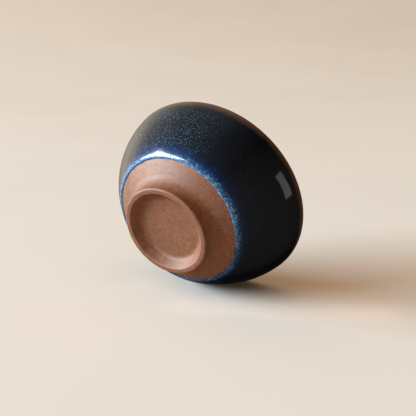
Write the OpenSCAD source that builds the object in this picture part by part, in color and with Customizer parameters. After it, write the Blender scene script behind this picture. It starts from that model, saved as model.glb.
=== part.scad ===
// Tea bowl: a turned stoneware body with a trimmed foot, under a dark glaze that ran and stopped in a roll.
// Every piece is turned about Z. Z = 0 is the face of the foot ring, and the bowl opens upwards.

/* [Bowl] */
// Diameter over the glaze at the lip
rim_d = 100; // [88:1:124]
// Height from the face of the foot ring to the crest of the lip
bowl_h = 43.5; // [38:0.5:56]
// How far the wall leans out from upright at the lip
lip_flare = 9; // [0:0.5:16]
// Thickness of the clay under the lip
lip_t = 2.8; // [2:0.1:4]
// Thickness of the clay between the well and the foot recess
base_t = 4.8; // [3.5:0.1:7]
// Radius of the level floor of the well
well_r = 8.5; // [4:0.5:14]

/* [Foot] */
// Diameter of the foot ring
foot_d = 45.6; // [37:0.2:56]
// Height of the foot wall, up to the bare slope
foot_h = 5.9; // [5:0.1:8]
// How much the foot wall draws in on its way up
foot_undercut = 0.5; // [0:0.1:1.2]
// Width of the ring between the foot wall and the recess
ring_w = 2.5; // [2:0.1:4]
// Rounding on both edges of the ring
ring_round = 0.85; // [0.2:0.05:0.95]
// Depth of the recess inside the ring
recess_d = 4.6; // [2.5:0.1:5.5]
// Slope of the recess wall from level
recess_slope = 54; // [40:1:75]
// Rounding where the recess wall meets its floor
recess_round = 2.2; // [0.4:0.1:3.5]
// Radius of the cove between the foot wall and the bare slope
cove_r = 4.2; // [1:0.1:5]
// Slope of the bare turned clay from level
bare_slope = 28.5; // [15:0.5:34]

/* [Glaze] */
// Diameter of the line where the glaze stops
glaze_line_d = 64.6; // [56:0.2:72]
// Thickness of the coat over the crest of the lip, where it ran thin
lip_coat_t = 0.3; // [0.2:0.05:0.8]
// Thickness of the coat low on the wall
wall_coat_t = 0.65; // [0.4:0.05:1.4]
// Thickness of the roll at the glaze line
roll_t = 0.75; // [0.6:0.05:1.6]
// Length of the rounded nose of the roll
roll_nose = 0.9; // [0.5:0.1:2]
// Distance over which the roll thins out into the coat
roll_fade = 2.8; // [1.5:0.1:4]
// Length of the roll up the wall from the glaze line
roll_len = 4; // [3:0.1:6]
// How far the thin band reaches below the rounding of the lip, outside and inside
lip_band = 1.2; // [0.6:0.1:4]
// Depth of the glaze that pooled in the well
pool_t = 1.6; // [0.6:0.1:3]

/* [Hidden] */
$fn = 128;

// Steps along a rounded edge, along the roll, round the lip, and along a whole wall
edge_steps = 6;
bead_steps = 10;
lip_steps = 20;
wall_steps = 28;

foot_r = foot_d / 2;
waist_r = foot_r - foot_undercut;
ring_in_r = foot_r - ring_w;
recess_r = ring_in_r - recess_d / tan(recess_slope);

// The lip is a half circle that leans out with the wall
lip_round = lip_t / 2;
lip_c = [rim_d / 2 - lip_coat_t - lip_round, bowl_h - lip_coat_t - lip_round];
lip_out = [cos(lip_flare), -sin(lip_flare)];
belly_end = lip_c + lip_round * lip_out;
inside_end = lip_c - lip_round * lip_out;

// The belly is one arc from the glaze line to the lip, where it runs on into the half circle
line_r = glaze_line_d / 2;
line_z = foot_h + (line_r - waist_r) * tan(bare_slope);
glaze_line = [line_r, line_z];
belly_span = belly_end - glaze_line;
belly_r = belly_span * belly_span / (2 * belly_span * lip_out);
belly_c = belly_end - belly_r * lip_out;
line_a = heading(glaze_line - belly_c);
belly_len = belly_r * (-lip_flare - line_a) * PI / 180;
coat_end = belly_len - lip_band;

// The inside is part of an ellipse, from the lip down to the level well
well_z = recess_d + base_t;
inside_half_w = (inside_end.x - well_r) / cos(lip_flare);
inside_half_h = (inside_end.y - well_z) / (1 - sin(lip_flare));
inside_c = [well_r, well_z + inside_half_h];
inside_band_a = lip_flare + lip_band / inside_half_h * 180 / PI;

// Points on a circle, from one angle to another
function arc(c, r, from, to, steps) =
    [for (i = [0 : steps]) let (a = from + (to - from) * i / steps) c + r * [cos(a), sin(a)]];

function unit(v) = v / norm(v);
function heading(v) = atan2(v.y, v.x);

// The arc that rounds the corner at q on the way from p to s
function fillet(p, q, s, r) =
    let (
        back = unit(p - q),
        ahead = unit(s - q),
        half = acos(back * ahead) / 2,
        c = q + unit(back + ahead) * r / sin(half),
        from = heading(q + back * r / tan(half) - c),
        to = heading(q + ahead * r / tan(half) - c),
        turn = (to - from + 540) % 360 - 180
    )
    arc(c, r, from, from + turn, edge_steps);

// Equal steps between two values
function steps_between(from, to, steps) = [for (i = [0 : steps]) from + (to - from) * i / steps];

// A point above the belly's clay: s is the way up the wall from the glaze line, t the height off the clay
function belly_point(s, t = 0) =
    let (a = line_a + s / belly_r * 180 / PI)
    belly_c + (belly_r + t) * [cos(a), sin(a)];

// The coat thins towards the lip, and swells to the roll near the glaze line
function thin_coat(s) = lip_coat_t + (wall_coat_t - lip_coat_t) * (1 - s / belly_len);
function coat(s) = thin_coat(s) + (roll_t - thin_coat(s)) * exp(-((s - roll_nose) / roll_fade) ^ 2);

// A point off the clay of the inside: a runs from the flare at the lip to 90 at the well
function inside_point(a, t = 0) =
    let (into = unit([-cos(a) / inside_half_w, sin(a) / inside_half_h]))
    inside_c + [inside_half_w * cos(a), -inside_half_h * sin(a)] + t * into;
function way_down(a) = (a - lip_flare) / (90 - lip_flare);
function lining(a) = lip_coat_t + (pool_t - lip_coat_t) * (1 - cos(90 * way_down(a)));

// Clay outlines, each from its lower or outer end
recess_floor = [0, recess_d];
recess_corner = [recess_r, recess_d];
ring_in = [ring_in_r, 0];
ring_out = [foot_r, 0];
waist = [waist_r, foot_h];
underside = concat(
    [recess_floor],
    fillet(recess_floor, recess_corner, ring_in, recess_round),
    fillet(recess_corner, ring_in, ring_out, ring_round),
    fillet(ring_in, ring_out, waist, ring_round),
    fillet(ring_out, waist, glaze_line, cove_r)
);

// The clay of the wall between two distances up it, and of the inside between two angles
function wall_clay(from, to, steps) = [for (s = steps_between(from, to, steps)) belly_point(s)];
function inside_clay(from, to, steps) = [for (a = steps_between(from, to, steps)) inside_point(a)];

// The glaze over the same stretches
function wall_coat(from, to, steps) = [for (s = steps_between(from, to, steps)) belly_point(s, coat(s))];
function inside_coat(from, to, steps) = [for (a = steps_between(from, to, steps)) inside_point(a, lining(a))];

function reversed(list) = [for (i = [len(list) - 1 : -1 : 0]) list[i]];

// The list without its first point, where it joins on to another that ends there
function after_first(list) = [for (i = [1 : len(list) - 1]) list[i]];

// A coat turned over a stretch of clay: the two outlines run the same way, from end to end
module coat_ring(clay, glaze) {
    rotate_extrude()
        polygon(concat(clay, reversed(glaze)));
}

// Thrown and turned in one piece: foot ring, recess, cove, bare slope, belly, lip and well
module stoneware_body() {
    color("sienna")
        rotate_extrude()
            polygon(concat(
                underside,
                wall_clay(0, roll_len, bead_steps),
                after_first(wall_clay(roll_len, coat_end, wall_steps)),
                after_first(wall_clay(coat_end, belly_len, edge_steps)),
                after_first(arc(lip_c, lip_round, -lip_flare, 180 - lip_flare, lip_steps)),
                after_first(inside_clay(lip_flare, inside_band_a, edge_steps)),
                after_first(inside_clay(inside_band_a, 90, wall_steps)),
                [[0, well_z]]
            ));
}

// The thick edge where the glaze stopped, with a rounded nose that stands off the bare slope
module glaze_roll() {
    nose = [for (a = steps_between(90 / edge_steps, 90, edge_steps - 1))
        belly_point(roll_nose * (1 - cos(a)), coat(roll_nose) * sin(a))];
    color("steelblue")
        coat_ring(
            wall_clay(0, roll_len, bead_steps),
            concat(nose, after_first(wall_coat(roll_nose, roll_len, bead_steps)))
        );
}

// The dark coat on the outside, from the roll up to the thin band under the lip
module outer_glaze() {
    color("midnightblue")
        coat_ring(
            wall_clay(roll_len, coat_end, wall_steps),
            wall_coat(roll_len, coat_end, wall_steps)
        );
}

// The thin band over the lip, where the glaze drained away and the clay warms its colour
module lip_glaze() {
    clay = concat(
        wall_clay(coat_end, belly_len, edge_steps),
        after_first(arc(lip_c, lip_round, -lip_flare, 180 - lip_flare, lip_steps)),
        after_first(inside_clay(lip_flare, inside_band_a, edge_steps))
    );
    glaze = concat(
        wall_coat(coat_end, belly_len, edge_steps),
        after_first(arc(lip_c, lip_round + lip_coat_t, -lip_flare, 180 - lip_flare, lip_steps)),
        after_first(inside_coat(lip_flare, inside_band_a, edge_steps))
    );
    color("saddlebrown")
        coat_ring(clay, glaze);
}

// The coat poured inside, which deepens down the wall and pools in the well
module inner_glaze() {
    color("darkslategray")
        coat_ring(
            concat(inside_clay(inside_band_a, 90, wall_steps), [[0, well_z]]),
            concat(inside_coat(inside_band_a, 90, wall_steps), [[0, well_z + pool_t]])
        );
}

stoneware_body();
glaze_roll();
outer_glaze();
lip_glaze();
inner_glaze();
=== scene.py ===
# %% [markdown]
# # A stoneware tea bowl, tipped to show its foot
# The bowl is one piece of turned clay under one glaze. The clay stays bare round the foot; above it the
# glaze ran down the wall and stopped in a thick roll that breaks pale blue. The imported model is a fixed
# frame in which the bowl stands upright. Each new piece takes the place of one solid and keeps inside the
# same box, so the camera and the table lean instead of the bowl.

# %% Load the frame
import math

import bpy
from mathutils import Matrix, Vector


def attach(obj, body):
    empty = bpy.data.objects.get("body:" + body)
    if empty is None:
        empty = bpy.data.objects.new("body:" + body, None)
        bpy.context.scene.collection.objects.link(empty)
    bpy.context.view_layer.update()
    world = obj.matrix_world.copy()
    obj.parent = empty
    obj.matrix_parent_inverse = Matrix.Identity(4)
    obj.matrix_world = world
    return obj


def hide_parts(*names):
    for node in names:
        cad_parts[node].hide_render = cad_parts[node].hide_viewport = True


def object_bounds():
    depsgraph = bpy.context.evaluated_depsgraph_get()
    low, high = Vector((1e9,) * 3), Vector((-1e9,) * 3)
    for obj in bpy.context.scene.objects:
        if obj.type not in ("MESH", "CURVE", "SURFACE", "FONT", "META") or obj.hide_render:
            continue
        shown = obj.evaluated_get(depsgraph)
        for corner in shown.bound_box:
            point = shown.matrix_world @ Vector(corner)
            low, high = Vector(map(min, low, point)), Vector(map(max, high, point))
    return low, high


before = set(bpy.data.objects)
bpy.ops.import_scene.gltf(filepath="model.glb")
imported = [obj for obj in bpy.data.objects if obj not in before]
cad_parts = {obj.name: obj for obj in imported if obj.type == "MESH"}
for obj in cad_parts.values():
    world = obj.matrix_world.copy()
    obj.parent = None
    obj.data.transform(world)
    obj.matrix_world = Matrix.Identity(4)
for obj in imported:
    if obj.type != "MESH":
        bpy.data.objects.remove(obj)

MM = 0.001
cad_low, cad_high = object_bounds()
print("solids:", sorted(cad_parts))
print("box in mm:", [round(v / MM, 2) for v in cad_high - cad_low])

# %% [markdown]
# ## The camera
# A photographed circle gives the pose away. The foot ring's outline says where its centre is and how wide
# it looks, and the flattening of its oval says how far the bowl's axis leans from the line of sight. A bowl
# could be turned to face the lens, but here the bowl has to keep its place, so the camera is moved round it
# to the same view.

# %% Work out the photographed pose
IMAGE_SIDE = 416
SENSOR_MM = 36.0
LENS_MM = 75.0
FOOT_R = 22.8
FOOT_PIXEL = (164.52, 232.34)
FOOT_HALF_WIDTH_PX = 48.72
AXIS_LEAN = math.radians(44.23)
AXIS_HEADING = math.radians(-40.87)
ROOM_TURN = math.radians(95)

focal_px = LENS_MM / SENSOR_MM * IMAGE_SIDE
distance = focal_px / FOOT_HALF_WIDTH_PX * FOOT_R * MM


def seen_at(pixel):
    """Where the camera sees a pixel, one unit away: x is to the right, y down and z away from the lens."""
    middle = IMAGE_SIDE / 2
    return Vector(((pixel[0] - middle) / focal_px, (pixel[1] - middle) / focal_px, 1))


foot_seen = seen_at(FOOT_PIXEL) * distance
axis_seen = Vector((
    math.sin(AXIS_LEAN) * math.cos(AXIS_HEADING),
    math.sin(AXIS_LEAN) * math.sin(AXIS_HEADING),
    math.cos(AXIS_LEAN),
))
away_seen = (Vector((0, 0, 1)) - axis_seen.z * axis_seen).normalized()
side_seen = away_seen.cross(axis_seen)
bowl_from_seen = Matrix.Rotation(ROOM_TURN, 3, "Z") @ Matrix((side_seen, away_seen, axis_seen))
print("camera to foot in mm:", round(distance / MM, 1))

# %% Set up the camera
camera_axes = bowl_from_seen @ Matrix.Diagonal((1, -1, -1))
bpy.ops.object.select_all(action="DESELECT")
bpy.ops.object.camera_add(location=-(bowl_from_seen @ foot_seen), rotation=camera_axes.to_euler())
camera = bpy.context.object
camera.name = "photo_camera"
camera.data.sensor_width = SENSOR_MM
camera.data.lens = LENS_MM
bpy.context.scene.camera = camera
print("camera at mm:", [round(v / MM) for v in camera.location])

# %% [markdown]
# ## The shape of the wheel-thrown form
# Everything on the bowl is turned about one axis, so each piece is one outline, spun. The outlines of clay
# and glaze come from the same few sizes, in millimetres, as (radius, height): the glaze is the clay's line
# moved outwards by the thickness that it has there. That keeps the two in touch all the way, as glass that
# melted onto the clay is. The sizes are the solids' own, apart from the ring, the recess and the cove,
# which are a little rounder, as in the photograph.

# %% Sizes of the bowl
RIM_R = cad_high.x / MM
BOWL_H = cad_high.z / MM
LIP_FLARE = math.radians(9)
LIP_T = 2.8
BASE_T = 4.8
WELL_R = 8.5
FOOT_H = 5.9
FOOT_UNDERCUT = 0.5
RING_W = 2.8
RING_ROUND = 1.05
RECESS_D = 4.6
RECESS_SLOPE = math.radians(54)
RECESS_ROUND = 3.2
COVE_R = 7.4
EASED_WAIST = 0.3
BARE_SLOPE = math.radians(28.5)
LINE_R = 32.3
LIP_COAT_T = 0.3
WALL_COAT_T = 0.65
ROLL_T = 0.75
ROLL_NOSE = 0.9
ROLL_FADE = 2.8
ROLL_LEN = 4.0
LIP_BAND = 1.2
POOL_T = 1.6

waist_r = FOOT_R - FOOT_UNDERCUT
ring_in_r = FOOT_R - RING_W
recess_r = ring_in_r - RECESS_D / math.tan(RECESS_SLOPE)
glaze_line = Vector((LINE_R, FOOT_H + (LINE_R - waist_r) * math.tan(BARE_SLOPE)))
print("lip radius and height in mm:", round(RIM_R, 2), round(BOWL_H, 2))

# %% The lip, a half circle that leans out, and the belly, one arc that runs on into it
lip_round = LIP_T / 2
lip_c = Vector((RIM_R - LIP_COAT_T - lip_round, BOWL_H - LIP_COAT_T - lip_round))
lip_out = Vector((math.cos(LIP_FLARE), -math.sin(LIP_FLARE)))
belly_end = lip_c + lip_round * lip_out
belly_span = belly_end - glaze_line
belly_r = belly_span.length_squared / (2 * belly_span.dot(lip_out))
belly_c = belly_end - belly_r * lip_out
line_angle = math.atan2(glaze_line.y - belly_c.y, glaze_line.x - belly_c.x)
belly_len = belly_r * (-LIP_FLARE - line_angle)
coat_end = belly_len - LIP_BAND


def on_circle(centre, radius, angle):
    return centre + radius * Vector((math.cos(angle), math.sin(angle)))


def belly_point(up_wall, off_clay=0.0):
    """A point above the belly's clay, so far up the wall from the glaze line and so far off the clay."""
    return on_circle(belly_c, belly_r + off_clay, line_angle + up_wall / belly_r)


def thin_coat(up_wall):
    return LIP_COAT_T + (WALL_COAT_T - LIP_COAT_T) * (1 - up_wall / belly_len)


def coat(up_wall):
    """The glaze thins towards the lip and swells to the roll near the glaze line."""
    swell = math.exp(-((up_wall - ROLL_NOSE) / ROLL_FADE) ** 2)
    return thin_coat(up_wall) + (ROLL_T - thin_coat(up_wall)) * swell


print("belly radius and length in mm:", round(belly_r, 1), round(belly_len, 1))

# %% The inside, part of an ellipse down to the level well
QUARTER = math.pi / 2
inside_end = lip_c - lip_round * lip_out
well_z = RECESS_D + BASE_T
inside_half_w = (inside_end.x - WELL_R) / math.cos(LIP_FLARE)
inside_half_h = (inside_end.y - well_z) / (1 - math.sin(LIP_FLARE))
inside_c = Vector((WELL_R, well_z + inside_half_h))
inside_band = LIP_FLARE + LIP_BAND / inside_half_h


def inside_point(angle, off_clay=0.0):
    """A point off the clay inside: the angle runs from the flare at the lip to a quarter turn at the well."""
    clay = inside_c + Vector((inside_half_w * math.cos(angle), -inside_half_h * math.sin(angle)))
    inwards = Vector((-math.cos(angle) / inside_half_w, math.sin(angle) / inside_half_h)).normalized()
    return clay + off_clay * inwards


def lining(angle):
    way_down = (angle - LIP_FLARE) / (QUARTER - LIP_FLARE)
    return LIP_COAT_T + (POOL_T - LIP_COAT_T) * (1 - math.cos(QUARTER * way_down))


print("well at mm:", round(well_z, 1), "and its pool", POOL_T, "mm deep")

# %% [markdown]
# ## Turning an outline
# An outline could be spun in edit mode, but many points make that slow. Here one point is extruded along
# the outline, and a Screw modifier turns the line once round, as the wheel turned the clay. Once it is
# applied, merging doubles closes the seam and the poles, and only then are the normals turned outwards.

# %% A helper that turns a piece
WHEEL_STEPS = 320
MERGE_MM = 0.0005
SHARP = math.radians(40)


def turn_piece(name, outline, closed, steps=WHEEL_STEPS):
    """Extrudes one point along an outline of (radius, height) in mm and turns it round the bowl's axis."""
    bpy.ops.object.select_all(action="DESELECT")
    bpy.ops.mesh.primitive_plane_add(size=MM)
    piece = bpy.context.object
    piece.name = name
    bpy.ops.object.mode_set(mode="EDIT")
    bpy.ops.mesh.select_mode(type="VERT")
    bpy.ops.mesh.merge(type="CENTER")
    places = [Vector((point.x, 0, point.y)) * MM for point in outline]
    bpy.ops.transform.translate(value=places[0])
    for before, after in zip(places, places[1:]):
        bpy.ops.mesh.extrude_region_move(TRANSFORM_OT_translate={"value": after - before})
    if closed:
        bpy.ops.mesh.extrude_region_move(TRANSFORM_OT_translate={"value": places[0] - places[-1]})
    bpy.ops.object.mode_set(mode="OBJECT")
    bpy.ops.object.modifier_add(type="SCREW")
    wheel = piece.modifiers[-1]
    wheel.steps = steps
    wheel.render_steps = steps
    bpy.ops.object.modifier_apply(modifier=wheel.name)
    bpy.ops.object.mode_set(mode="EDIT")
    bpy.ops.mesh.select_all(action="SELECT")
    bpy.ops.mesh.remove_doubles(threshold=MERGE_MM * MM)
    bpy.ops.mesh.normals_make_consistent(inside=False)
    bpy.ops.object.mode_set(mode="OBJECT")
    bpy.ops.object.shade_smooth_by_angle(angle=SHARP)
    print(name, "faces:", len(piece.data.polygons))
    return piece


def steps_between(start, end, spacing):
    """Even steps from one value to another, about so far apart, with both ends."""
    count = max(1, math.ceil(abs(end - start) / spacing))
    return [start + (end - start) * i / count for i in range(count + 1)]


# %% A helper that rounds a corner
ROUND_STEPS = 14


def rounded(before, corner, after, radius):
    """The arc that rounds a corner of an outline."""
    back = (before - corner).normalized()
    ahead = (after - corner).normalized()
    half = math.acos(back.dot(ahead)) / 2
    centre = corner + (back + ahead).normalized() * radius / math.sin(half)
    first = corner + back * radius / math.tan(half) - centre
    last = corner + ahead * radius / math.tan(half) - centre
    start = math.atan2(first.y, first.x)
    sweep = (math.atan2(last.y, last.x) - start + math.pi) % (2 * math.pi) - math.pi
    turn = steps_between(start, start + sweep, abs(sweep) / ROUND_STEPS)
    return [on_circle(centre, radius, angle) for angle in turn]


print("a rounded corner has", ROUND_STEPS + 1, "points")

# %% [markdown]
# ## The clay body
# The foot was turned from leather-hard clay with a loop tool, which leaves fine rings on the floor of the
# recess. They could be bump, but here they are in the outline itself, about a hundredth of a millimetre
# deep, so they catch the light as real grooves do. The grain of the clay is too fine for a mesh and comes
# with the finish.

# %% Outline of the underside
RING_PITCHES = (1.63, 0.97, 0.53)
RING_DEPTH = 0.012
GROOVE_SPACING = 0.16


def turning_rings(radius):
    """Height of the tool's rings at a radius: three pitches together, so that no ring is like the next."""
    waves = [math.sin(2 * math.pi * radius / pitch) for pitch in RING_PITCHES]
    return RING_DEPTH * sum(waves) / len(waves)


recess_corner = Vector((recess_r, RECESS_D))
ring_in = Vector((ring_in_r, 0))
ring_out = Vector((FOOT_R, 0))
waist = Vector((waist_r + EASED_WAIST, FOOT_H))
corners = [
    rounded(Vector((0, RECESS_D)), recess_corner, ring_in, RECESS_ROUND),
    rounded(recess_corner, ring_in, ring_out, RING_ROUND),
    rounded(ring_in, ring_out, waist, RING_ROUND),
    rounded(ring_out, waist, glaze_line, COVE_R),
]
floor_end = corners[0][0].x
recess_floor = [
    Vector((r, RECESS_D + turning_rings(r) * min(1, (floor_end - r) / RING_PITCHES[0])))
    for r in steps_between(0, floor_end, GROOVE_SPACING)
]
underside = recess_floor + corners[0][1:] + corners[1] + corners[2] + corners[3] + [glaze_line]
print("underside points:", len(underside))

# %% Turn the clay
HIDDEN_SPACING = 1.5
LIP_SPACING = math.radians(9)
outside_clay = [belly_point(s) for s in steps_between(0, belly_len, HIDDEN_SPACING)]
lip_turn = steps_between(-LIP_FLARE, math.pi - LIP_FLARE, LIP_SPACING)
lip_clay = [on_circle(lip_c, lip_round, a) for a in lip_turn]
inside_turn = steps_between(LIP_FLARE, QUARTER, HIDDEN_SPACING / inside_half_h)
inside_clay = [inside_point(a) for a in inside_turn]
clay_outline = underside + outside_clay[1:] + lip_clay[1:] + inside_clay[1:] + [Vector((0, well_z))]
clay = turn_piece("turned_clay", clay_outline, closed=False)
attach(clay, "root")
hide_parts("stoneware_body")

# %% [markdown]
# ## The roll at the glaze line
# Molten glaze creeps down the wall and freezes where it gets too thick to run: a rounded bead with a soft
# nose. The bowl was dipped a little askew, so the line stands higher on one side, and it wanders as a run
# edge does. A Displace modifier could shake the edge at random; a few sine waves of the angle keep it the
# same each time and let the finish measure from the real edge.

# %% How the glaze edge wanders
LINE_SHIFT = 0.11
LEAN_MM = 0.63
LEAN_TOWARDS = math.radians(257)
EDGE_REACH = 5.5

# Each wave is (how many times round the bowl, height in mm, phase)
WAVES = ((3, 0.19, 2.59), (5, 0.05, 0.17), (13, 0.08, 2.1), (29, 0.07, 4.0), (53, 0.06, 1.3))


def edge_shift(angle):
    """How far up the wall the glaze edge lies at an angle round the bowl, in mm from the turned line."""
    lean = LEAN_MM * math.cos(angle - LEAN_TOWARDS)
    waves = sum(height * math.sin(count * angle + phase) for count, height, phase in WAVES)
    return LINE_SHIFT + lean + waves


def up_wall_of(point):
    """The way up the wall from the turned line of a point in metres, measured along the belly's arc in mm."""
    radius = math.hypot(point.x, point.y) / MM
    rise = point.z / MM - belly_c.y
    return belly_r * (math.atan2(rise, radius - belly_c.x) - line_angle)


def wander(piece):
    """Slides a piece's vertices along the wall so that its lower edge follows the run edge."""
    for vertex in piece.data.vertices:
        angle = math.atan2(vertex.co.y, vertex.co.x)
        share = max(0.0, 1 - max(0.0, up_wall_of(vertex.co)) / EDGE_REACH)
        slide = edge_shift(angle) * share * share
        heading = line_angle + QUARTER
        outwards = slide * math.cos(heading) * MM
        vertex.co.x += outwards * math.cos(angle)
        vertex.co.y += outwards * math.sin(angle)
        vertex.co.z += slide * math.sin(heading) * MM


shifts = [edge_shift(math.radians(degree)) for degree in range(360)]
print("edge wanders between mm:", round(min(shifts), 2), "and", round(max(shifts), 2))

# %% Turn the roll
ROLL_SPACING = 0.2
NOSE_SPACING = math.radians(9)
EDGE_STEPS = 512
nose = [
    belly_point(ROLL_NOSE * (1 - math.cos(a)), coat(ROLL_NOSE) * math.sin(a))
    for a in steps_between(0, QUARTER, NOSE_SPACING)
]
roll_top = [belly_point(s, coat(s)) for s in steps_between(ROLL_NOSE, ROLL_LEN, ROLL_SPACING)]
roll_seat = [belly_point(s) for s in steps_between(ROLL_LEN, 0, ROLL_SPACING)]
roll = turn_piece("blue_roll", nose + roll_top[1:] + roll_seat[:-1], closed=True, steps=EDGE_STEPS)
wander(roll)
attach(roll, "root")
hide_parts("glaze_roll")

# %% [markdown]
# ## The coat on the wall, the lip and the lining
# The same glass covers the rest. Outside it is under a millimetre thick and smooth enough to mirror a
# window; over the lip it drained away to a thin skin; inside it deepens down the wall and pools in the
# well. Each is a closed ring: the outline goes up one face and down the other, and a close step near the
# joins keeps the gloss unbroken across them.

# %% Turn the outside coat
COAT_SPACING = 0.4
coat_top = [belly_point(s, coat(s)) for s in steps_between(ROLL_LEN, coat_end, COAT_SPACING)]
coat_seat = [belly_point(s) for s in steps_between(coat_end, ROLL_LEN, COAT_SPACING)]
dark_coat = turn_piece("dark_coat", coat_top + coat_seat, closed=True, steps=EDGE_STEPS)
wander(dark_coat)
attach(dark_coat, "root")
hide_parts("outer_glaze")

# %% Turn the thin band over the lip
LIP_WALL_SPACING = 0.2
lip_up = steps_between(coat_end, belly_len, LIP_WALL_SPACING)
lip_in = steps_between(LIP_FLARE, inside_band, LIP_WALL_SPACING / inside_half_h)
lip_top = [belly_point(s, coat(s)) for s in lip_up]
lip_top += [on_circle(lip_c, lip_round + LIP_COAT_T, a) for a in lip_turn[1:]]
lip_top += [inside_point(a, lining(a)) for a in lip_in[1:]]
lip_seat = [belly_point(s) for s in lip_up]
lip_seat += [on_circle(lip_c, lip_round, a) for a in lip_turn[1:]]
lip_seat += [inside_point(a) for a in lip_in[1:]]
thin_lip = turn_piece("thin_lip", lip_top + lip_seat[::-1], closed=True)
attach(thin_lip, "root")
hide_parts("lip_glaze")

# %% Turn the lining and its pool
LINING_SPACING = 0.8
lining_steps = steps_between(inside_band, QUARTER, LINING_SPACING / inside_half_h)
pool = [Vector((r, well_z + POOL_T)) for r in steps_between(WELL_R, 0, LINING_SPACING)]
lining_top = [inside_point(a, lining(a)) for a in lining_steps] + pool[1:]
lining_seat = [Vector((0, well_z))] + [inside_point(a) for a in lining_steps[::-1]]
poured_lining = turn_piece("poured_lining", lining_top + lining_seat, closed=True)
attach(poured_lining, "root")
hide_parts("inner_glaze")

# %% [markdown]
# ## Measuring for the finish
# The colour of this glaze follows its thickness, and that follows two distances: from the run edge, where
# it is thick and pale, and from the crest of the lip, where it is thin and brown. They could be guessed
# from height alone, but the edge leans and wanders, so each glaze piece stores both distances on its points
# for the finish to read. The lining is far from any run edge, and stores a distance longer than the wall.

# %% Store the two distances on the glaze
FAR_MM = 90.0


def store_distances(piece, outside):
    """Writes the distance from the run edge and from the lip's crest on each point, in mm."""
    from_edge = piece.data.attributes.new("from_edge", "FLOAT", "POINT")
    from_lip = piece.data.attributes.new("from_lip", "FLOAT", "POINT")
    for vertex in piece.data.vertices:
        up_wall = up_wall_of(vertex.co)
        angle = math.atan2(vertex.co.y, vertex.co.x)
        below_crest = BOWL_H - vertex.co.z / MM
        from_edge.data[vertex.index].value = up_wall - edge_shift(angle) if outside else FAR_MM
        from_lip.data[vertex.index].value = below_crest


glazes = (roll, dark_coat, thin_lip, poured_lining)
for piece in glazes:
    store_distances(piece, outside=piece is not poured_lining)
print("stored on:", [piece.name for piece in glazes])

# %% [markdown]
# ## Out of round
# A bowl lifted off the wheel while it is soft does not stay a true circle: two hands leave the rim a little
# longer one way than the other. A lattice could bend it so; here each point moves out from the axis or in
# by its own share, nothing at the foot and most at the lip, so clay and glaze stay in touch. The long way
# runs from corner to corner of the solids' box, which keeps the bowl inside it.

# %% Press the rim out of round
OVAL = 0.0255
LONG_WAY = math.radians(45)

# An oval along a square's diagonal stands past the square's sides by this share, so the rim is drawn in by it
PAST_SIDES = 2 * OVAL * OVAL


def press_out_of_round(piece):
    """Moves each point out from the axis along the long way, and in across it."""
    for vertex in piece.data.vertices:
        share = min(1.0, max(0.0, (vertex.co.z / MM - FOOT_H) / (BOWL_H - FOOT_H)))
        angle = math.atan2(vertex.co.y, vertex.co.x)
        pull = 1 + share * (OVAL * math.cos(2 * (angle - LONG_WAY)) - PAST_SIDES)
        vertex.co.x *= pull
        vertex.co.y *= pull


pieces = (clay, *glazes)
for piece in pieces:
    press_out_of_round(piece)
widest = 2 * max(math.hypot(v.co.x, v.co.y) for v in thin_lip.data.vertices)
print("rim longest in mm:", round(widest / MM, 1))

# %% [markdown]
# ## The table
# In the photograph the bowl lies on its belly on a plain pale table, so in the bowl's own frame that table
# leans. It is a sheet of paper that curves up far behind the bowl, the way a studio sweep does, so no edge
# shows. Paper that is seen from behind lets the view through, which keeps the bowl in sight from every
# side.

# %% Find the room's directions
CAMERA_PITCH = math.radians(14)
room_right = bowl_from_seen @ Vector((1, 0, 0))
room_up = bowl_from_seen @ Vector((0, -math.cos(CAMERA_PITCH), -math.sin(CAMERA_PITCH)))
room_away = room_up.cross(room_right)
room_axes = Matrix((room_right, room_away, room_up)).transposed()


def room_direction(azimuth, elevation):
    """A direction in the room, in degrees: azimuth 0 is away from the camera and 90 to the right."""
    a = math.radians(azimuth)
    e = math.radians(elevation)
    return room_axes @ Vector((math.sin(a) * math.cos(e), math.cos(a) * math.cos(e), math.sin(e)))


rest_height = min(v.co.dot(room_up) for piece in pieces for v in piece.data.vertices)
table_point = room_up * rest_height
print("table is", round(-rest_height / MM, 1), "mm below the foot's centre")

# %% Lay the paper and sweep it up behind
PAPER_W = 5.0
PAPER_FRONT = 2.0
PAPER_FLAT = 0.5
SWEEP_R = 4.0
SWEEP_ANGLE = math.radians(50)
SWEEP_STEPS = 24

bpy.ops.object.select_all(action="DESELECT")
bpy.ops.mesh.primitive_plane_add(size=1)
paper = bpy.context.object
paper.name = "paper_sweep"
bpy.ops.object.mode_set(mode="EDIT")
bpy.ops.transform.resize(value=(PAPER_W, PAPER_FRONT + PAPER_FLAT, 1))
bpy.ops.transform.translate(value=(0, (PAPER_FLAT - PAPER_FRONT) / 2, 0))
bpy.ops.mesh.select_all(action="DESELECT")
bpy.ops.object.mode_set(mode="OBJECT")

# The far edge is the only one with both ends behind the bowl
for edge in paper.data.edges:
    ends = [paper.data.vertices[i].co.y for i in edge.vertices]
    edge.select = min(ends) > 0
bpy.ops.object.mode_set(mode="EDIT")
bpy.ops.mesh.select_mode(type="EDGE")
sweep_centre = (0, PAPER_FLAT, SWEEP_R)
bpy.ops.mesh.spin(steps=SWEEP_STEPS, angle=-SWEEP_ANGLE, center=sweep_centre, axis=(1, 0, 0))
bpy.ops.mesh.select_all(action="SELECT")
bpy.ops.mesh.remove_doubles(threshold=MM)
bpy.ops.object.mode_set(mode="OBJECT")
bpy.ops.object.shade_smooth()
paper.matrix_world = Matrix.Translation(table_point) @ room_axes.to_4x4()
paper.visible_glossy = False
print("paper faces:", len(paper.data.polygons))

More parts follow.
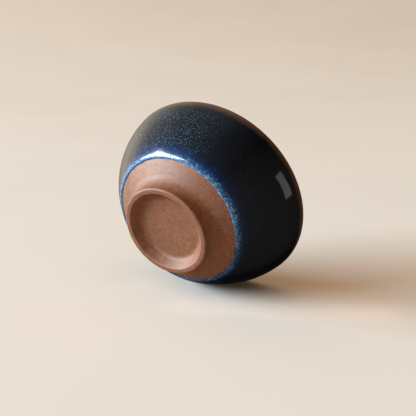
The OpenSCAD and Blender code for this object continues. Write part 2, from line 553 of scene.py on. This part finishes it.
# %% [markdown]
# ## A level stand for the upright views
# When the view goes round the upright bowl, it needs something level under its foot. This second sheet is
# seen only from above, and only by the camera, so it neither hides the bowl nor takes light away in the
# photographed view, whose camera is below it. It lies a hair under the foot ring, because two faces in one
# plane would fight over which is seen.

# %% Lay the level sheet
LEVEL_SIDE = 6.0
LEVEL_GAP = 0.1 * MM
bpy.ops.object.select_all(action="DESELECT")
bpy.ops.mesh.primitive_plane_add(size=LEVEL_SIDE, location=(0, 0, -LEVEL_GAP))
level = bpy.context.object
level.name = "level_paper"
level.visible_diffuse = False
level.visible_glossy = False
level.visible_transmission = False
level.visible_shadow = False
print("level paper is", LEVEL_SIDE, "m wide")

# %% [markdown]
# ## Small helpers for the finishes
# Each finish is a few layers of noise over a colour. These helpers add one node or a few and wire them, so
# that a finish reads like its recipe. Sizes are real: the scale of a noise is worked out from the size of
# its grain.

# %% Helpers that add a node
def new_finish(name):
    finish = bpy.data.materials.new(name)
    finish.use_nodes = True
    return finish, finish.node_tree, finish.node_tree.nodes["Principled BSDF"]


def add_node(tree, kind, inputs=None, **settings):
    """Adds a node, sets its properties, and sets or links its inputs by name or number."""
    node = tree.nodes.new(kind)
    for key, value in settings.items():
        setattr(node, key, value)
    for key, value in (inputs or {}).items():
        if isinstance(value, bpy.types.NodeSocket):
            tree.links.new(value, node.inputs[key])
        else:
            node.inputs[key].default_value = value
    return node


def place_on_piece(tree):
    return add_node(tree, "ShaderNodeTexCoord").outputs["Object"]


def stored(tree, name):
    """A value that was stored on the piece's points."""
    return add_node(tree, "ShaderNodeAttribute", attribute_name=name).outputs["Fac"]


def grain(tree, where, size_mm, detail=2.0, rough=0.5):
    """Soft noise whose lumps are about so large."""
    inputs = {"Vector": where, "Scale": 1 / (size_mm * MM), "Detail": detail, "Roughness": rough}
    return add_node(tree, "ShaderNodeTexNoise", inputs).outputs["Fac"]


def dents(tree, height, depth_mm, under=None):
    """Bump whose full height is so many millimetres, over another bump if one is given."""
    inputs = {"Height": height, "Distance": depth_mm * MM, "Strength": 1.0}
    if under is not None:
        inputs["Normal"] = under
    return add_node(tree, "ShaderNodeBump", inputs).outputs["Normal"]


# %% Helpers that reckon with values
NOISE_MIDDLE = (0.3, 0.7)


def sums(tree, operation, first, second=0.0, third=0.0, clamp=False):
    inputs = {0: first, 1: second, 2: third}
    return add_node(tree, "ShaderNodeMath", inputs, operation=operation, use_clamp=clamp).outputs["Value"]


def times(tree, first, second):
    return sums(tree, "MULTIPLY", first, second)


def stretch(tree, value, low, high, to_low=0.0, to_high=1.0):
    """Spreads a range of values over another, smoothly, and holds them at its ends."""
    inputs = {"Value": value, "From Min": low, "From Max": high, "To Min": to_low, "To Max": to_high}
    return add_node(tree, "ShaderNodeMapRange", inputs, interpolation_type="SMOOTHSTEP").outputs["Result"]


def pushed(tree, value, noise, push):
    """A distance pushed to and fro by a noise, by up to half of push either way."""
    return sums(tree, "MULTIPLY_ADD", sums(tree, "SUBTRACT", noise, 0.5), push, value)


def vectors(tree, operation, first, second=(0, 0, 0)):
    return add_node(tree, "ShaderNodeVectorMath", {0: first, 1: second}, operation=operation).outputs


def off_axis(tree, where):
    """The level part of a place: which way and how far it lies from the bowl's axis."""
    return vectors(tree, "MULTIPLY", where, (1, 1, 0))["Vector"]


# %% Helpers that mix colours
def blend(tree, share, first, second, how="MIX"):
    """Lays one colour over another by a share."""
    node = add_node(tree, "ShaderNodeMix", data_type="RGBA", blend_type=how)
    # The colour sockets of a Mix node come after those for numbers and vectors
    share_socket, first_socket, second_socket = node.inputs[0], node.inputs[6], node.inputs[7]
    for socket, value in ((share_socket, share), (first_socket, first), (second_socket, second)):
        if isinstance(value, bpy.types.NodeSocket):
            tree.links.new(value, socket)
        else:
            socket.default_value = value if isinstance(value, float) else (*value, 1)
    return node.outputs[2]


def shaded(tree, colour, shade):
    """A colour made darker or lighter by a value."""
    grey = add_node(tree, "ShaderNodeCombineColor", {0: shade, 1: shade, 2: shade}).outputs["Color"]
    return blend(tree, 1.0, colour, grey, "MULTIPLY")


def colours_along(tree, value, stops):
    """A colour ramp with its stops given as (place, colour)."""
    node = add_node(tree, "ShaderNodeValToRGB", {"Fac": value})
    elements = node.color_ramp.elements
    while len(elements) < len(stops):
        elements.new(1)
    for element, (place, colour) in zip(elements, stops):
        element.position = place
        element.color = (*colour, 1)
    return node.outputs["Color"]


# %% [markdown]
# ## Bare stoneware
# Clay with much iron in it fires to a warm red-brown that is never one colour: it drifts over centimetres,
# and close up it is a fine grain of paler sand and small dark pits. The loop tool drew faint lines round the
# foot; a ring texture would make them too even, so a soft noise is drawn out round the axis instead. The
# surface is matt, but burnished enough by the tool to carry a broad sheen.

# %% Coordinates that follow the wheel
def wrapped(tree, where, ring_mm, along_mm):
    """Coordinates on a cylinder: the way round the axis on a ring of that radius, and a distance along it."""
    outwards = vectors(tree, "NORMALIZE", off_axis(tree, where))["Vector"]
    ring = vectors(tree, "MULTIPLY", outwards, (ring_mm * MM, ring_mm * MM, 0))["Vector"]
    lift = add_node(tree, "ShaderNodeCombineXYZ", {"Z": times(tree, along_mm, MM)}).outputs["Vector"]
    return vectors(tree, "ADD", ring, lift)["Vector"]


def tool_path(tree, where):
    """How far along the turned foot a point is, in mm: out from the axis and up."""
    out = vectors(tree, "LENGTH", off_axis(tree, where))["Value"]
    up = add_node(tree, "ShaderNodeSeparateXYZ", {0: where}).outputs["Z"]
    return sums(tree, "DIVIDE", sums(tree, "ADD", out, up), MM)


# %% What the clay is made of
CLAY = (0.198, 0.074, 0.033)
CLAY_RED = (0.213, 0.073, 0.030)
CLAY_PIT = (0.050, 0.019, 0.010)
CLAY_SAND = (0.36, 0.19, 0.11)
DRIFT_MM = 14
DRIFT_RANGE = (0.35, 0.65)
MOTTLE_MM = 2.6
MOTTLE_SHADES = (0.9, 1.1)
GRAIN_MM = 0.6
GRAIN_DETAIL = {"detail": 4, "rough": 0.65}
GRAIN_RANGE = (0.25, 0.75)
GRAIN_SHADES = (0.75, 1.25)
GRAIN_DEPTH = 0.14
SAND_RANGE = (0.58, 0.70)
SAND_SHARE = 0.14
PIT_MM = 0.8
PIT_RANGE = (0.64, 0.71)
PIT_SHARE = 0.8
PIT_DEPTH = 0.06
LINE_MM = 0.5
LINE_RING = 2.0
LINE_SHADES = (0.91, 1.09)
LINE_DEPTH = 0.02
CLAY_ROUGHNESS = (0.50, 0.64)
CLAY_GLOSS = 0.28
print("clay grain in mm:", GRAIN_MM, "and its pits:", PIT_MM)


# %% The clay finish
def bare_stoneware():
    finish, tree, shader = new_finish("bare_stoneware")
    where = place_on_piece(tree)
    drift = stretch(tree, grain(tree, where, DRIFT_MM), *DRIFT_RANGE)
    mottle = grain(tree, where, MOTTLE_MM)
    fine = grain(tree, where, GRAIN_MM, **GRAIN_DETAIL)
    sand = stretch(tree, grain(tree, where, GRAIN_MM), *SAND_RANGE, 0, SAND_SHARE)
    pits = stretch(tree, grain(tree, where, PIT_MM), *PIT_RANGE, 0, PIT_SHARE)
    lines = grain(tree, wrapped(tree, where, LINE_RING, tool_path(tree, where)), LINE_MM)
    colour = blend(tree, drift, CLAY, CLAY_RED)
    colour = blend(tree, sand, colour, CLAY_SAND)
    colour = blend(tree, pits, colour, CLAY_PIT)
    shade = stretch(tree, fine, *GRAIN_RANGE, *GRAIN_SHADES)
    shade = times(tree, shade, stretch(tree, mottle, *NOISE_MIDDLE, *MOTTLE_SHADES))
    shade = times(tree, shade, stretch(tree, lines, *NOISE_MIDDLE, *LINE_SHADES))
    roughness = stretch(tree, fine, *NOISE_MIDDLE, *CLAY_ROUGHNESS)
    normal = dents(tree, fine, GRAIN_DEPTH)
    normal = dents(tree, lines, LINE_DEPTH, normal)
    normal = dents(tree, pits, -PIT_DEPTH, normal)
    tree.links.new(shaded(tree, colour, shade), shader.inputs["Base Color"])
    tree.links.new(roughness, shader.inputs["Roughness"])
    tree.links.new(normal, shader.inputs["Normal"])
    shader.inputs["Specular IOR Level"].default_value = CLAY_GLOSS
    return finish


clay.data.materials.append(bare_stoneware())
print("finish:", clay.data.materials[0].name)

# %% [markdown]
# ## The glaze
# One glaze, three faces. Where it is thick at the run edge it breaks pale, then bright blue, then navy in
# streaks that follow the flow. On the wall it is a near-black glass with fine pale crystals in it. Where it
# drained off the lip, the clay shows through as brown. Each could be a finish of its own, but then every
# join would show, so one recipe reads the stored distances and covers them all. On the side that faces the
# window the glaze is painted lighter, as painted light: most of the crystals and flecks are there, and the
# blue runs higher. Away from it the blue is painted darker, as shade.

# %% The side toward the window, painted lighter
# Painted light: the glaze is made lighter on the side that faces the window and darker away from it.
LIT_SIDE = math.radians(302)
LIT_SIDE_TURN = (-0.8, 0.4)
PAINTED_LIGHT_RANGE = (0.4, 1.0)


def facing(tree, where, heading):
    """How nearly a point lies towards a heading round the axis: 1 there, -1 on the far side."""
    outwards = vectors(tree, "NORMALIZE", off_axis(tree, where))["Vector"]
    return vectors(tree, "DOT_PRODUCT", outwards, (math.cos(heading), math.sin(heading), 0))["Value"]


print("rich side at degrees:", round(math.degrees(LIT_SIDE)))

# %% Blue where the glaze ran thick
EDGE_COLOURS = (
    (0.00, (0.036, 0.090, 0.175)),
    (0.05, (0.036, 0.122, 0.275)),
    (0.09, (0.018, 0.074, 0.200)),
    (0.15, (0.006, 0.035, 0.100)),
    (0.23, (0.003, 0.016, 0.064)),
    (0.33, (0.002, 0.009, 0.036)),
    (0.50, (0.0016, 0.0045, 0.011)),
    (1.00, (0.0015, 0.002, 0.004)),
)
EDGE_SPAN = (14.0, 21.0)
LIT_REACH = (0.75, 1.0)
FLOW_RING = 33.0
FLOW_SHARE = 0.35
STREAK_MM = 0.8
STREAK_DETAIL = 3
STREAK_PUSH = 4.5
CLOUD_PUSH = 3.0


def edge_colour(tree, where, from_edge, side, clouds):
    """The colours from the run edge up the wall, painted to reach further on the side toward the window."""
    flow = wrapped(tree, where, FLOW_RING, times(tree, from_edge, FLOW_SHARE))
    streaks = grain(tree, flow, STREAK_MM, STREAK_DETAIL)
    up_wall = pushed(tree, from_edge, streaks, STREAK_PUSH)
    up_wall = pushed(tree, up_wall, clouds, CLOUD_PUSH)
    # The blue is painted to reach higher towards the window, as painted light.
    span = stretch(tree, side, *LIT_REACH, *EDGE_SPAN)
    return colours_along(tree, sums(tree, "DIVIDE", up_wall, span, clamp=True), EDGE_COLOURS)


print("edge colours:", len(EDGE_COLOURS), "over mm:", EDGE_SPAN)

# %% Pale flecks near the run edge
FLECK = (0.31, 0.50, 0.64)
FLECKS = {"spacing_mm": 0.48, "size": 0.76}
FLECK_FADE = (0.4, 4.2)
PATCH_MM = 1.3
PATCH_RANGE = (0.38, 0.62)
PATCH_SHARES = (0.3, 1.0)
SOFT_RIM = 0.12


def crystals(tree, where, spacing_mm, size):
    """Fine round specks, one to a cell, each of its own size."""
    cells = add_node(tree, "ShaderNodeTexVoronoi", {"Vector": where, "Scale": 1 / (spacing_mm * MM)})
    chance = add_node(tree, "ShaderNodeSeparateColor", {0: cells.outputs["Color"]}).outputs[0]
    gap = sums(tree, "SUBTRACT", times(tree, chance, size), cells.outputs["Distance"])
    return stretch(tree, gap, 0.0, SOFT_RIM)


def edge_flecks(tree, where, from_edge, painted_light):
    """The share of pale flecks in patches near the run edge, raised where light is painted towards the
    window.
    """
    near_edge = times(tree, painted_light, stretch(tree, from_edge, *FLECK_FADE, 1.0, 0.0))
    patches = stretch(tree, grain(tree, where, PATCH_MM), *PATCH_RANGE, *PATCH_SHARES)
    return times(tree, crystals(tree, where, **FLECKS), times(tree, near_edge, patches))


print("flecks are", FLECKS["spacing_mm"], "mm apart")

# %% Crystals in the dark glass
CRYSTAL = (0.42, 0.52, 0.66)
SPECKS = {"spacing_mm": 0.7, "size": 0.34}
HAZE = {"spacing_mm": 0.4, "size": 0.5}
HAZE_SHARE = 0.35
SPECKS_TOWARD_LIGHT = (0.70, 0.97)
SPECK_SHARES = (0.03, 0.42)
LINING_FROM = (50.0, 70.0)
LINING_SHARE = 0.10
CLEAR_LIP = (3.0, 9.0)


def wall_specks(tree, where, from_edge, from_lip, side):
    """Pale crystals' share: most towards the window as painted light, few and even in the lining, none at the
    lip.
    """
    by_side = stretch(tree, side, *SPECKS_TOWARD_LIGHT, *SPECK_SHARES)
    outside = stretch(tree, from_edge, *LINING_FROM, 1.0, 0.0)
    inside = stretch(tree, from_edge, *LINING_FROM, 0.0, LINING_SHARE)
    shown = sums(tree, "MULTIPLY_ADD", by_side, outside, inside)
    shown = times(tree, shown, stretch(tree, from_lip, *CLEAR_LIP))
    haze = times(tree, crystals(tree, where, **HAZE), HAZE_SHARE)
    return times(tree, sums(tree, "MAXIMUM", crystals(tree, where, **SPECKS), haze), shown)


print("specks are", SPECKS["spacing_mm"], "mm apart, in a haze at", HAZE["spacing_mm"], "mm")

# %% Brown where the glaze drained off the lip
LIP_BROWN = (0.150, 0.072, 0.034)
BROWN_SPAN = (5.0, 7.0)
BROWN_SIDE = (0.3, 1.0)
BROWN_FADE = (0.05, 1.0)
BROWN_PUSH = 2.0


def lip_brown(tree, from_lip, side, clouds):
    """The share of brown, which reaches a little further down on the side toward the window."""
    span = stretch(tree, side, *BROWN_SIDE, *BROWN_SPAN)
    reach = sums(tree, "DIVIDE", pushed(tree, from_lip, clouds, BROWN_PUSH), span)
    return stretch(tree, reach, *BROWN_FADE, 1.0, 0.0)


print("brown fades out over mm:", BROWN_SPAN)

# %% The glaze recipe
CLOUD_MM = 5
GLAZE_ROUGHNESS = (0.05, 0.10)
RIPPLE_MM = 2.5
RIPPLE_DEPTH = 0.01


def run_glaze(name):
    finish, tree, shader = new_finish(name)
    where = place_on_piece(tree)
    from_edge = stored(tree, "from_edge")
    from_lip = stored(tree, "from_lip")
    clouds = grain(tree, where, CLOUD_MM)
    side = facing(tree, where, LIT_SIDE)
    # Painted light and painted shade: the glaze's colours are lighter towards the window and darker away from
    # it.
    painted_light = stretch(tree, side, *LIT_SIDE_TURN, *PAINTED_LIGHT_RANGE)
    colour = shaded(tree, edge_colour(tree, where, from_edge, side, clouds), painted_light)
    colour = blend(tree, edge_flecks(tree, where, from_edge, painted_light), colour, FLECK)
    colour = blend(tree, wall_specks(tree, where, from_edge, from_lip, side), colour, CRYSTAL)
    colour = blend(tree, lip_brown(tree, from_lip, side, clouds), colour, LIP_BROWN)
    roughness = stretch(tree, clouds, *NOISE_MIDDLE, *GLAZE_ROUGHNESS)
    ripples = dents(tree, grain(tree, where, RIPPLE_MM), RIPPLE_DEPTH)
    tree.links.new(colour, shader.inputs["Base Color"])
    tree.links.new(roughness, shader.inputs["Roughness"])
    tree.links.new(ripples, shader.inputs["Normal"])
    return finish


glaze_names = ("blue_breaking_glaze", "blue_black_glaze", "thin_brown_glaze", "pooled_dark_glaze")
for piece, name in zip(glazes, glaze_names):
    piece.data.materials.append(run_glaze(name))
    print("finish:", name, "on", piece.name)

# %% [markdown]
# ## Paper
# The paper is a plain warm white with a little tooth. Its colour is painted darker and warmer towards its
# far end, as painted shade where the light falls off. A sheet that hid the bowl from behind would spoil the
# other views. It could be left out of them, but each view has the same scene, so the paper's back is clear
# instead.

# %% Paper finish
PAPER = (0.74, 0.66, 0.58)
# Painted shade: the far end of the paper is darker and warmer, where the window's light falls off.
PAPER_FAR_SHADE = (0.62, 0.495, 0.395)
FAR_END = 1.9
TONE_MM = 160
TONES = (0.985, 1.015)
TOOTH_MM = 1.2
TOOTH_DEPTH = 0.02
PAPER_ROUGHNESS = 0.9


def one_sided_paper(name, far_shade_colour):
    finish, tree, shader = new_finish(name)
    where = place_on_piece(tree)
    away = add_node(tree, "ShaderNodeSeparateXYZ", {0: where}).outputs["Y"]
    # Painted shade: the colour darkens towards the far end.
    colour = blend(tree, stretch(tree, away, 0.0, FAR_END), PAPER, far_shade_colour)
    tone = stretch(tree, grain(tree, where, TONE_MM), *NOISE_MIDDLE, *TONES)
    tooth = dents(tree, grain(tree, where, TOOTH_MM), TOOTH_DEPTH)
    tree.links.new(shaded(tree, colour, tone), shader.inputs["Base Color"])
    tree.links.new(tooth, shader.inputs["Normal"])
    shader.inputs["Roughness"].default_value = PAPER_ROUGHNESS
    clear = add_node(tree, "ShaderNodeBsdfTransparent").outputs[0]
    back = add_node(tree, "ShaderNodeNewGeometry").outputs["Backfacing"]
    sides = add_node(tree, "ShaderNodeMixShader", {0: back, 1: shader.outputs[0], 2: clear}).outputs[0]
    tree.links.new(sides, tree.nodes["Material Output"].inputs["Surface"])
    return finish


paper.data.materials.append(one_sided_paper("paper", PAPER_FAR_SHADE))
level.data.materials.append(one_sided_paper("level_paper", PAPER))
print("paper colour:", PAPER)

# %% [markdown]
# ## Light
# One large soft window on the left lights everything. A real window lights a surface and shows in its gloss
# at once. Here the two are apart, so that each can be set by itself: the window only lights, a sheen in the
# same place only gleams on the matt clay, and the patch that the glaze mirrors comes in a later step. A
# weak second window shows only as a dim reflection in the glaze's right flank.

# %% Helpers for soft lights
def area_light(name, place, axes, size, power, colour, shape="RECTANGLE"):
    """An area light at a place, which shines back along the third of its axes."""
    bpy.ops.object.select_all(action="DESELECT")
    bpy.ops.object.light_add(type="AREA", location=place, rotation=axes.to_euler())
    light = bpy.context.object
    light.name = name
    light.data.shape = shape
    light.data.size, light.data.size_y = size
    light.data.energy = power
    light.data.color = colour
    print(name, "gives", power, "W")
    return light


def soft_box(name, direction, reach, tilt=0.0, **light):
    """An area light in a direction from the bowl, facing it, with its edges level or tilted by degrees."""
    aim = Vector((0, 0, BOWL_H / 2 * MM))
    level_edge = room_up.cross(direction).normalized()
    upright_edge = direction.cross(level_edge)
    axes = Matrix((level_edge, upright_edge, direction)).transposed()
    axes = axes @ Matrix.Rotation(math.radians(tilt), 3, "Z")
    return area_light(name, aim + direction * reach, axes, **light)


def light_only(light, lit):
    """Keeps a light to some pieces."""
    group = bpy.data.collections.new(light.name + "_lights")
    for piece in lit:
        group.objects.link(piece)
    light.light_linking.receiver_collection = group


# %% The windows
DAYLIGHT = (0.61, 0.83, 1.0)
SHEEN_LIGHT = (0.90, 0.90, 0.93)
WINDOW_POWER = 1750
SHEEN_POWER = 4500
WINDOW = {"direction": room_direction(-95, 20.5), "reach": 8.0, "size": (7.0, 2.6)}
FAR_WINDOW = {"direction": room_direction(108, 6), "reach": 1.0, "size": (0.155, 0.45), "tilt": 22}
FAR_LIGHT = (1, 1, 1)
FAR_POWER = 0.25

window = soft_box("window", power=WINDOW_POWER, colour=DAYLIGHT, **WINDOW)
window.visible_glossy = False
sheen = soft_box("window_sheen", power=SHEEN_POWER, colour=SHEEN_LIGHT, **WINDOW)
sheen.visible_diffuse = False
light_only(sheen, [clay])
far_window = soft_box("far_window", power=FAR_POWER, colour=FAR_LIGHT, **FAR_WINDOW)
far_window.visible_diffuse = False
light_only(far_window, glazes)

# %% [markdown]
# ## Fills under the overhang
# In the photograph the table is bright right up to the bowl's shadow, though the foot hangs over it and
# takes away some of the room's light. A photographer could hold a small warm card low in front of the bowl.
# Here two flat lamps lie just over the table where light is missing. They light nothing but the paper, and
# the bowl throws no shadow in them.

# %% Hold the fills over the table
FILL_HEIGHT = 11 * MM
FRONT_PIXEL = (281, 309.5)
FRONT_FILL = {"size": (110 * MM, 20 * MM), "power": 0.0023, "colour": (1.0, 0.77, 0.70)}
FRONT_TURN = math.radians(-8)
FOOT_FILL_PIXEL = (166, 285)
FOOT_FILL = {"size": (35 * MM, 20 * MM), "power": 0.0005, "colour": (1.0, 0.62, 0.40)}
FOOT_FILL_TURN = math.radians(-12)


def on_table(pixel):
    """The place on the table that the camera sees at a pixel."""
    ray = bowl_from_seen @ seen_at(pixel)
    reach = (rest_height - camera.location.dot(room_up)) / ray.dot(room_up)
    return camera.location + ray * reach


def low_fill(name, pixel, turn, **light):
    """A flat lamp just over the table, which lights nothing but the paper."""
    place = on_table(pixel) + room_up * FILL_HEIGHT
    fill = area_light(name, place, room_axes @ Matrix.Rotation(turn, 3, "Z"), **light)
    fill.visible_camera = False
    fill.visible_glossy = False
    light_only(fill, [paper])
    fill.light_linking.blocker_collection = fill.light_linking.receiver_collection


low_fill("front_fill", FRONT_PIXEL, FRONT_TURN, **FRONT_FILL)
low_fill("foot_fill", FOOT_FILL_PIXEL, FOOT_FILL_TURN, **FOOT_FILL)

# %% [markdown]
# ## The highlight
# A gloss as clear as this one mirrors the shape of what it sees, and the bright patch by the glaze edge is
# long and bent. An area light can only be an oblong or an oval, so a card is cut to shape instead. Its
# corners are directions in the room, as (azimuth, elevation): along the top of the patch, and back along
# its lower edge. The card glows, but only the glaze sees it.

# %% Cut the glowing card
GLINT_TOP = (
    (-66, 14.5), (-70, 19.5), (-74, 24), (-78, 28), (-82, 31.7),
    (-86, 34.3), (-94, 37), (-108, 39.3), (-122, 40.5), (-134, 38.5),
)
GLINT_LOW = ((-126, 36.5), (-114, 32.5), (-104, 29.5), (-95, 28), (-88, 25.5), (-80, 21.5), (-73, 17.5))
GLINT_REACH = 6.0
GLINT_MIDDLE = room_direction(-98, 30)
GLINT_LIGHT = (0.90, 0.945, 1.0)
GLINT_STRENGTH = 23
glint_corners = GLINT_TOP + GLINT_LOW

bpy.ops.object.select_all(action="DESELECT")
bpy.ops.mesh.primitive_circle_add(vertices=len(glint_corners), fill_type="NGON")
glint = bpy.context.object
glint.name = "window_glint"
for vertex, corner in zip(glint.data.vertices, glint_corners):
    direction = room_direction(*corner)
    vertex.co = direction * GLINT_REACH / direction.dot(GLINT_MIDDLE)
glint.visible_camera = False
glint.visible_diffuse = False
glint.visible_shadow = False
light_only(glint, glazes)
print("glint card corners:", len(glint.data.vertices))

# %% Make the card glow
BLACK = (0.0, 0.0, 0.0)
glow_finish, _, glow_shader = new_finish("glowing_card")
glow_shader.inputs["Base Color"].default_value = (*BLACK, 1)
glow_shader.inputs["Emission Color"].default_value = (*GLINT_LIGHT, 1)
glow_shader.inputs["Emission Strength"].default_value = GLINT_STRENGTH
glint.data.materials.append(glow_finish)
print("finish:", glow_finish.name, "on", glint.name)

# %% [markdown]
# ## A lamp for the upright views
# The photographed light comes from below the rim of the upright bowl, so from above its inside would be
# dark. A lamp straight over the mouth lights the lining, the lip and the level sheet, and a second light in
# the same place only gleams in the lining. Of all these, the photographed view shows only the lip's edge.
# The leaning paper is left out, both from the lamp's light and from its shadows.

# %% Hang the lamp
LAMP = {"direction": Vector((0, 0, 1)), "reach": 6.0, "size": (2.5, 2.5), "shape": "ELLIPSE"}
LAMP_LIGHT = (0.78, 0.90, 1.0)
LAMP_POWER = 250
GLEAM_LIGHT = (0.90, 0.96, 1.0)
GLEAM_POWER = 120

lamp = soft_box("top_lamp", power=LAMP_POWER, colour=LAMP_LIGHT, **LAMP)
lamp.visible_glossy = False
light_only(lamp, [level, thin_lip, poured_lining])
gleam = soft_box("top_gleam", power=GLEAM_POWER, colour=GLEAM_LIGHT, **LAMP)
gleam.visible_diffuse = False
light_only(gleam, [poured_lining])
lamp_shadows = bpy.data.collections.new("top_lamp_shadows")
for piece in pieces:
    lamp_shadows.objects.link(piece)
lamp.light_linking.blocker_collection = lamp_shadows
gleam.light_linking.blocker_collection = lamp_shadows

# %% [markdown]
# ## The dim room
# The rest of the room is warm and dim. What the glaze mirrors of it is brighter on the window's side and
# along the table's far edge. A picture of a room could be wrapped round the bowl; a few soft steps between
# directions are enough. Light from under the leaning table reaches the part of the level sheet that lies
# behind it, which would otherwise be dark.

# %% Helpers for light from the room
world = bpy.data.worlds.new("room")
bpy.context.scene.world = world
world.use_nodes = True
room = world.node_tree
looking = add_node(room, "ShaderNodeTexCoord").outputs["Generated"]


def towards(azimuth, elevation):
    """How nearly a ray runs in a direction of the room: 1 along it, 0 across it."""
    return vectors(room, "DOT_PRODUCT", looking, room_direction(azimuth, elevation))["Value"]


def glow(azimuth, elevation, colour, stops):
    """Light round a direction of the room: each stop is (how nearly towards it, how bright)."""
    shades = [(place, [brightness * c for c in colour]) for place, brightness in stops]
    return colours_along(room, towards(azimuth, elevation), shades)


def added(first, second):
    return blend(room, 1.0, first, second, "ADD")


print("world:", world.name)

# %% What the glaze mirrors of the room
BY_WINDOW = {"azimuth": -72, "elevation": 38, "colour": (0.82, 1.0, 1.15), "stops": (
    (0.00, 0.00), (0.34, 0.11), (0.55, 0.24), (0.77, 0.31), (0.87, 0.36), (0.95, 0.38), (0.98, 0.50))}
FAR_LEFT = {"azimuth": -45, "elevation": 2, "colour": (1.24, 0.99, 0.66), "stops": (
    (0.50, 0.00), (0.71, 0.10), (0.87, 0.28), (0.94, 0.50), (0.985, 0.90), (1.00, 1.00))}
NEAR_RIGHT = {"azimuth": 150, "elevation": -20, "colour": (1.1, 1.0, 0.9), "stops": (
    (0.00, 0.01), (1.00, 0.17))}

glows = [glow(**part) for part in (BY_WINDOW, FAR_LEFT, NEAR_RIGHT)]
mirrored = added(added(glows[0], glows[1]), glows[2])
print("mirrored glows:", len(glows))

# %% What lights the matt surfaces, and what the camera sees past the paper
AMBIENT = (0.94, 0.64, 0.39)
AMBIENT_FROM = (-95, 45)
AMBIENT_SPREAD = (-0.3, 1.0)
UNDER_TABLE = (0.86, 0.68, 0.52)
UNDER_FROM = (0, -90)
UNDER_SPREAD = (0.05, 0.3)
BACKDROP = (0.72, 0.64, 0.56)

dim = blend(room, stretch(room, towards(*AMBIENT_FROM), *AMBIENT_SPREAD), BLACK, AMBIENT)
dim = blend(room, stretch(room, towards(*UNDER_FROM), *UNDER_SPREAD), dim, UNDER_TABLE)
path = add_node(room, "ShaderNodeLightPath")
seen = blend(room, path.outputs["Is Glossy Ray"], dim, mirrored)
seen = blend(room, path.outputs["Is Camera Ray"], seen, BACKDROP)
room.links.new(seen, room.nodes["Background"].inputs["Color"])
bpy.context.scene.view_settings.view_transform = "Standard"
